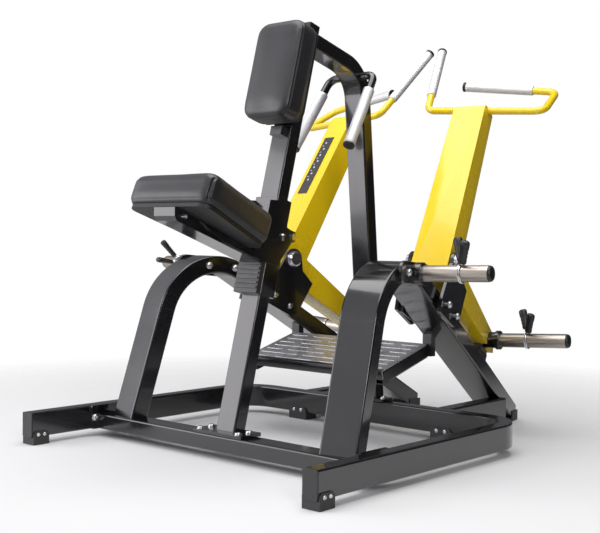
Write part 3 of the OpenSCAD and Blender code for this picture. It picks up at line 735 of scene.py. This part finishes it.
def hex_nut(bm, place, up, r):
    """A washer, a nut and the end of the bolt."""
    turned(bm, place, up, [(2.1 * r, 0), (2.1 * r, 0.25 * r), (1.95 * r, 0.33 * r)], 28)
    nut = [(1.6 * r, 0), (1.8 * r, 0.15 * r), (1.8 * r, 1.25 * r), (1.6 * r, 1.45 * r)]
    turned(bm, place + up * 0.3 * r, up, nut, 6)
    turned(bm, place + up * 1.5 * r, up, [(1.0 * r, 0), (1.0 * r, 0.5 * r), (0.8 * r, 0.65 * r)], 18)


def make_bolts(node, name, r, nut_face=None):
    """Heads, and nuts where there are any, in place of a CAD node of plain bolts. r is the shank's radius."""
    bm = bmesh.new()
    r = r * MM
    for points in islands(node):
        middle, direction, half = long_axis(points)
        axis = np.array(direction)
        along = (points - np.array(middle)) @ axis
        wide = np.linalg.norm(np.cross(points - np.array(middle), axis), axis=1)
        washer = along[wide > 1.95 * r]
        up = direction if washer.mean() > 0 else -direction
        seat = min(abs(washer.min()), abs(washer.max()))
        head_at = middle + up * seat
        socket_head(bm, head_at, up, r)
        turned(bm, head_at, -up, [(r, -0.2 * r), (r, half + seat)], 16)
        if nut_face:
            hex_nut(bm, head_at - up * nut_face * MM, -up, r)
    piece = add_mesh(name, bm, angle=0.5)
    return finish_piece(piece, NODE_BODY[node], BOLT_METAL, NODE_SLOT[node], node)


WIRE = 2.25 * MM
HORN_R = 25 * MM
CLIP_SPREAD = math.radians(22)
CLIP_SWAY = 0.3
CLIP_GRIP_SIZE = 1.15
CLIP_GRIP_PROFILE = [(7.0, 0), (9.5, 1.0), (10.6, 3), (11.0, 12), (10.2, 18), (11.4, 24), (10.4, 30),
                     (11.8, 36), (10.8, 42), (12.2, 48), (12.8, 58), (13.0, 66), (12.4, 70), (10.0, 73),
                     (5.0, 74.5)]


def oval(angle):
    return 1.0 / math.sqrt(math.cos(angle) ** 2 + (math.sin(angle) * 1.5) ** 2)


def make_clip(node, name, centre, out, up, body):
    """A spring collar: a wound wire coil whose two ends reach into moulded grips."""
    out = out.normalized()
    up = (up - out * up.dot(out)).normalized()
    across = out.cross(up)
    coil_r = HORN_R + WIRE + 0.4 * MM
    wound = 4 * math.pi + 2 * CLIP_SPREAD
    rise = 4.2 * WIRE
    steps = 96
    coil = []
    for i in range(steps + 1):
        t = i / steps
        angle = wound * t - CLIP_SPREAD
        coil.append(centre + out * rise * (t - 0.5)
                    + (up * math.cos(angle) + across * math.sin(angle)) * coil_r)
    stubs = []
    grips = bmesh.new()
    for sign, start, foot_at in ((-1, coil[0], 17), (1, coil[-1], 5)):
        lean = (up * math.cos(CLIP_SPREAD) + across * math.sin(CLIP_SPREAD) * sign).normalized()
        lean += out * sign * CLIP_SWAY
        stubs.append([start + lean * d * MM for d in (5, 12, 22, 40, 60)])
        direction = lean.normalized()
        profile = [(CLIP_GRIP_SIZE * r * MM, d * MM) for r, d in CLIP_GRIP_PROFILE]
        turned(grips, start + direction * foot_at * MM, direction, profile, 24, oval, out)
    wire = bmesh.new()
    swept(wire, stubs[0][::-1] + coil + stubs[1], WIRE, 10)
    finish_piece(add_mesh(name + "_wire", wire), body, CHROME, "spring_wire", node)
    finish_piece(add_mesh(name + "_grips", grips), body, PLASTIC, "moulded_plastic")


# ---------------------------------------------------------------- horns, arms and placard
def slab(bm, outline, low, high, edge):
    """A plate between two levels with chamfered edges; outline(inset, level) gives its ring of points."""
    loft(bm, [outline(edge, low), outline(0, low + edge), outline(0, high - edge), outline(edge, high)])


def make_storage_horns():
    """Each storage horn's bare tube, its collar and the round-ended plate that holds it."""
    plate_from, plate_to, plate_edge = 450, 462.2, 1.5
    plate_half, plate_r, plate_turn = 73.5, 34, math.radians(-5)
    foot_x, foot_y, foot_z = STORAGE_FOOT
    horns, mounts = bmesh.new(), bmesh.new()
    for hand in (1, -1):
        axis = horn_axis(hand, STORAGE_TILT)
        foot = at(hand, foot_x, foot_y, foot_z)
        tube = ((24, 30), (25, 34), (25, 240), (24.6, 243.6))
        turned(horns, foot, axis, [(r * MM, d * MM) for r, d in tube], 56)
        rings = ((25.3, 11), (33, 11), (34, 12), (34, 35), (33, 36.3), (25.4, 36.3))
        turned(mounts, foot, axis, [(r * MM, d * MM) for r, d in rings], 56)

        def outline(inset, level):
            ring = []
            for end in (1, -1):
                for k in range(13):
                    a = math.pi * (k / 12 - 0.5) + (0 if end > 0 else math.pi)
                    y = end * plate_half + (plate_r - inset) * math.cos(a)
                    z = (plate_r - inset) * math.sin(a)
                    ring.append(at(hand, level, foot_y + y * math.cos(plate_turn) - z * math.sin(plate_turn),
                                   foot_z + y * math.sin(plate_turn) + z * math.cos(plate_turn)))
            return ring

        slab(mounts, outline, plate_from, plate_to, plate_edge)
    finish_piece(add_mesh("storage_horn_tubes", horns), "frame", HORN_METAL, "horn_steel", "storage_horns")
    finish_piece(add_mesh("storage_horn_plates", mounts), "frame", BLACK, "frame_paint")


def make_arm_horn(hand, tag):
    """The arm horn's bare tube, and the black boss with its stepped collar."""
    axis = horn_axis(hand, ARM_HORN_TILT)
    foot = at(hand, *ARM_HORN_FOOT)
    body = f"{tag}_arm"
    horn, boss = bmesh.new(), bmesh.new()
    tube = ((24, 55), (25, 58), (25, 296), (24.6, 299.6))
    turned(horn, foot, axis, [(r * MM, d * MM) for r, d in tube], 56)
    rings = ((28, 0), (29, 1), (29, 46), (33, 46.3), (34, 47.3), (34, 59), (33, 60.3), (25.4, 60.3))
    turned(boss, foot, axis, [(r * MM, d * MM) for r, d in rings], 56)
    finish_piece(add_mesh(f"{tag}_arm_horn_tube", horn), body, HORN_METAL, "horn_steel", f"{tag}_arm_horn")
    finish_piece(add_mesh(f"{tag}_arm_horn_boss", boss), body, BLACK, "frame_paint")


def make_arm(tag):
    """The lever arm's weldment with its long edges rolled, as its plates are bent and ground."""
    node = f"{tag}_lever_arm"
    bm = bmesh.new()
    bm.from_mesh(NODES[node].data)
    bmesh.ops.remove_doubles(bm, verts=bm.verts, dist=2e-6)
    bmesh.ops.dissolve_limit(bm, angle_limit=0.01, verts=bm.verts, edges=bm.edges)
    long_edges = [e for e in bm.edges if e.calc_length() > 0.045 and e.is_manifold
                  and e.is_convex and e.calc_face_angle(0) > 0.9
                  and min(len(f.verts) for f in e.link_faces) >= 4]
    bmesh.ops.bevel(bm, geom=long_edges, offset=0.0055, segments=4, profile=0.5, affect="EDGES",
                    clamp_overlap=True)
    piece = add_mesh(f"{tag}_arm_weldment", bm, angle=0.5)
    finish_piece(piece, f"{tag}_arm", YELLOW, "arm_paint", node)


def make_placard():
    """Generic marks on the arm's placard: a row of dots with a short dash between each two."""
    arm_run, arm_rise = 350, 577
    run = (at(-1, PIVOT_X, arm_run, 0) - at(-1, PIVOT_X, 0, 0)).normalized()
    slope = math.atan2(arm_rise, arm_run)
    up_arm = run * math.cos(slope) + Vector((0, 0, math.sin(slope)))
    out = outward(-1)
    front = up_arm.cross(out).normalized()
    if front.y > 0:
        front = -front
    points = [Vector(v.co) for v in NODES["arm_placard"].data.vertices]
    face = max(p.dot(front) for p in points)
    centre = sum(points, Vector()) / len(points)
    centre += front * (face - centre.dot(front) + 0.15 * MM)
    long_half = max(abs((p - centre).dot(up_arm)) for p in points)
    wide_half = max(abs((p - centre).dot(out)) for p in points)
    bm = bmesh.new()
    dots, pitch = 7, 0.22
    dot = [(4.2 * MM, 0), (4.2 * MM, 0.5 * MM), (3.8 * MM, 0.6 * MM)]
    for k in range(dots):
        place = centre + up_arm * long_half * (0.80 - pitch * k) + out * wide_half * (0.0 if k % 2 else 0.12)
        turned(bm, place - front * 0.4 * MM, front, dot, 24)
    for k in range(dots - 1):
        place = centre + up_arm * long_half * (0.69 - pitch * k) + out * wide_half * 0.45
        half_a, half_b = out * 5 * MM, up_arm * 1.2 * MM
        ring = [place + half_a * u + half_b * v for u, v in ((-1, -1), (1, -1), (1, 1), (-1, 1))]
        loft(bm, [[p - front * 0.4 * MM for p in ring], [p + front * 0.2 * MM for p in ring]])
    finish_piece(add_mesh("placard_marks", bm, angle=0.5), "left_arm", MARKS, "placard")


# ---------------------------------------------------------------- footplate
FOOT_SLOPE = math.radians(15.6)
FOOT_FRONT = Vector((0, 0.066 + CENTRE_Y, 0.262))
FOOT_BACK = Vector((0, math.cos(FOOT_SLOPE), math.sin(FOOT_SLOPE)))
FOOT_UP = Vector((0, -math.sin(FOOT_SLOPE), math.cos(FOOT_SLOPE)))


def on_plate(x, y, z):
    """A point given in millimetres across, behind the front edge of, and above the footplate."""
    return FOOT_FRONT + Vector((x * MM, 0, 0)) + FOOT_BACK * y * MM + FOOT_UP * z * MM


def raised_bar(bm, x, y, half_long, half_wide, high):
    """One pressed tread bar with a rounded crown and tapered ends."""
    stations = [(-1, 0.05), (-0.96, 0.45), (-0.88, 0.85), (-0.75, 1), (0, 1),
                (0.75, 1), (0.88, 0.85), (0.96, 0.45), (1, 0.05)]
    section = [(-1, -0.2), (-0.8, 0.45), (-0.45, 0.88), (0, 1), (0.45, 0.88), (0.8, 0.45), (1, -0.2)]
    rings = []
    for t, wide in stations:
        rings.append([on_plate(x + t * half_long, y + u * half_wide * wide, v * high * min(1, wide + 0.15))
                      for u, v in section])
    loft(bm, rings)


def make_tread():
    """Rows of raised bars, staggered from row to row, and the black lip over the front edge."""
    rows, first_row, row_pitch = 7, 24, 35
    bar_pitch, bar_half, reach, shortest = 196, 84, 284, 40
    bm = bmesh.new()
    for row in range(rows):
        y = first_row + row * row_pitch
        offset = 0 if row % 2 else bar_pitch / 2
        for k in range(-2, 3):
            x = k * bar_pitch + offset
            low, high = max(x - bar_half, -reach), min(x + bar_half, reach)
            if high - low > shortest:
                raised_bar(bm, (low + high) / 2, y, (high - low) / 2, 3.6, 2.0)
    finish_piece(add_mesh("tread_bars", bm, angle=1.0), "frame", TREAD, "tread_plate")
    bm = bmesh.new()
    outline = [(0.6, 1.2), (14, 1.2), (14, 0.1), (-0.1, 0.1), (-0.1, -31), (-1.4, -31), (-1.8, -29),
               (-1.8, -1), (-1.2, 0.6)]
    loft(bm, [[on_plate(x, y, z) for y, z in outline] for x in (-298, 298)])
    finish_piece(add_mesh("footplate_nosing", bm, angle=0.5), "frame", BLACK, "frame_paint")


make_camera()
make_world()
make_lights()
make_floor()
bpy.context.scene.view_settings.view_transform = "Standard"

for node_name, node_object in NODES.items():
    node_object.data.materials.clear()
    node_object.data.materials.append(SLOT_LOOKS[NODE_SLOT[node_name]])

make_seat()
make_chest_pad()
make_grips("fixed_grips", "fixed_grip_tubes")
make_grips("left_grips", "left_grip_tubes")
make_grips("right_grips", "right_grip_tubes")
make_bolts("column_bolts", "column_bolt_set", 6)
make_bolts("rear_post_bolts", "post_bolt_set", 6)
make_bolts("crossbar_bolts", "crossbar_bolt_set", 6)
make_bolts("foot_screws", "foot_screw_set", 3)
make_bolts("carriage_bolts", "carriage_bolt_set", 5)
make_bolts("bracket_bolts", "bracket_bolt_set", 6, nut_face=160)
make_bolts("horn_bolts", "horn_bolt_set", 6, nut_face=132)
for hand, tag in ((1, "right"), (-1, "left")):
    storage_out = horn_axis(hand, STORAGE_TILT)
    arm_out = horn_axis(hand, ARM_HORN_TILT)
    rise = Vector((0, 0, 1))
    if hand < 0:
        rise = Quaternion(storage_out, math.radians(-60)) @ rise
    storage_at = at(hand, *STORAGE_FOOT) + storage_out * STORAGE_CLIP_AT
    arm_at = at(hand, *ARM_HORN_FOOT) + arm_out * ARM_CLIP_AT
    make_clip(f"{tag}_storage_clip", f"{tag}_storage_spring", storage_at, storage_out, rise,
              f"{tag}_storage_clip")
    make_clip(f"{tag}_arm_clip", f"{tag}_arm_spring", arm_at, arm_out, Vector((0, 0, 1)), f"{tag}_arm_clip")

make_tread()
make_storage_horns()
make_placard()
for hand, tag in ((1, "right"), (-1, "left")):
    make_arm_horn(hand, tag)
    make_arm(tag)
    make_caps(f"{tag}_grip_caps", f"{tag}_grip_plugs", f"{tag}_grips")
    make_caps(f"{tag}_arm_horn_cap", f"{tag}_arm_horn_plug", f"{tag}_arm_horn")
make_caps("fixed_grip_caps", "fixed_grip_plugs", "fixed_grips")
make_caps("storage_horn_caps", "storage_horn_plugs", "storage_horns")
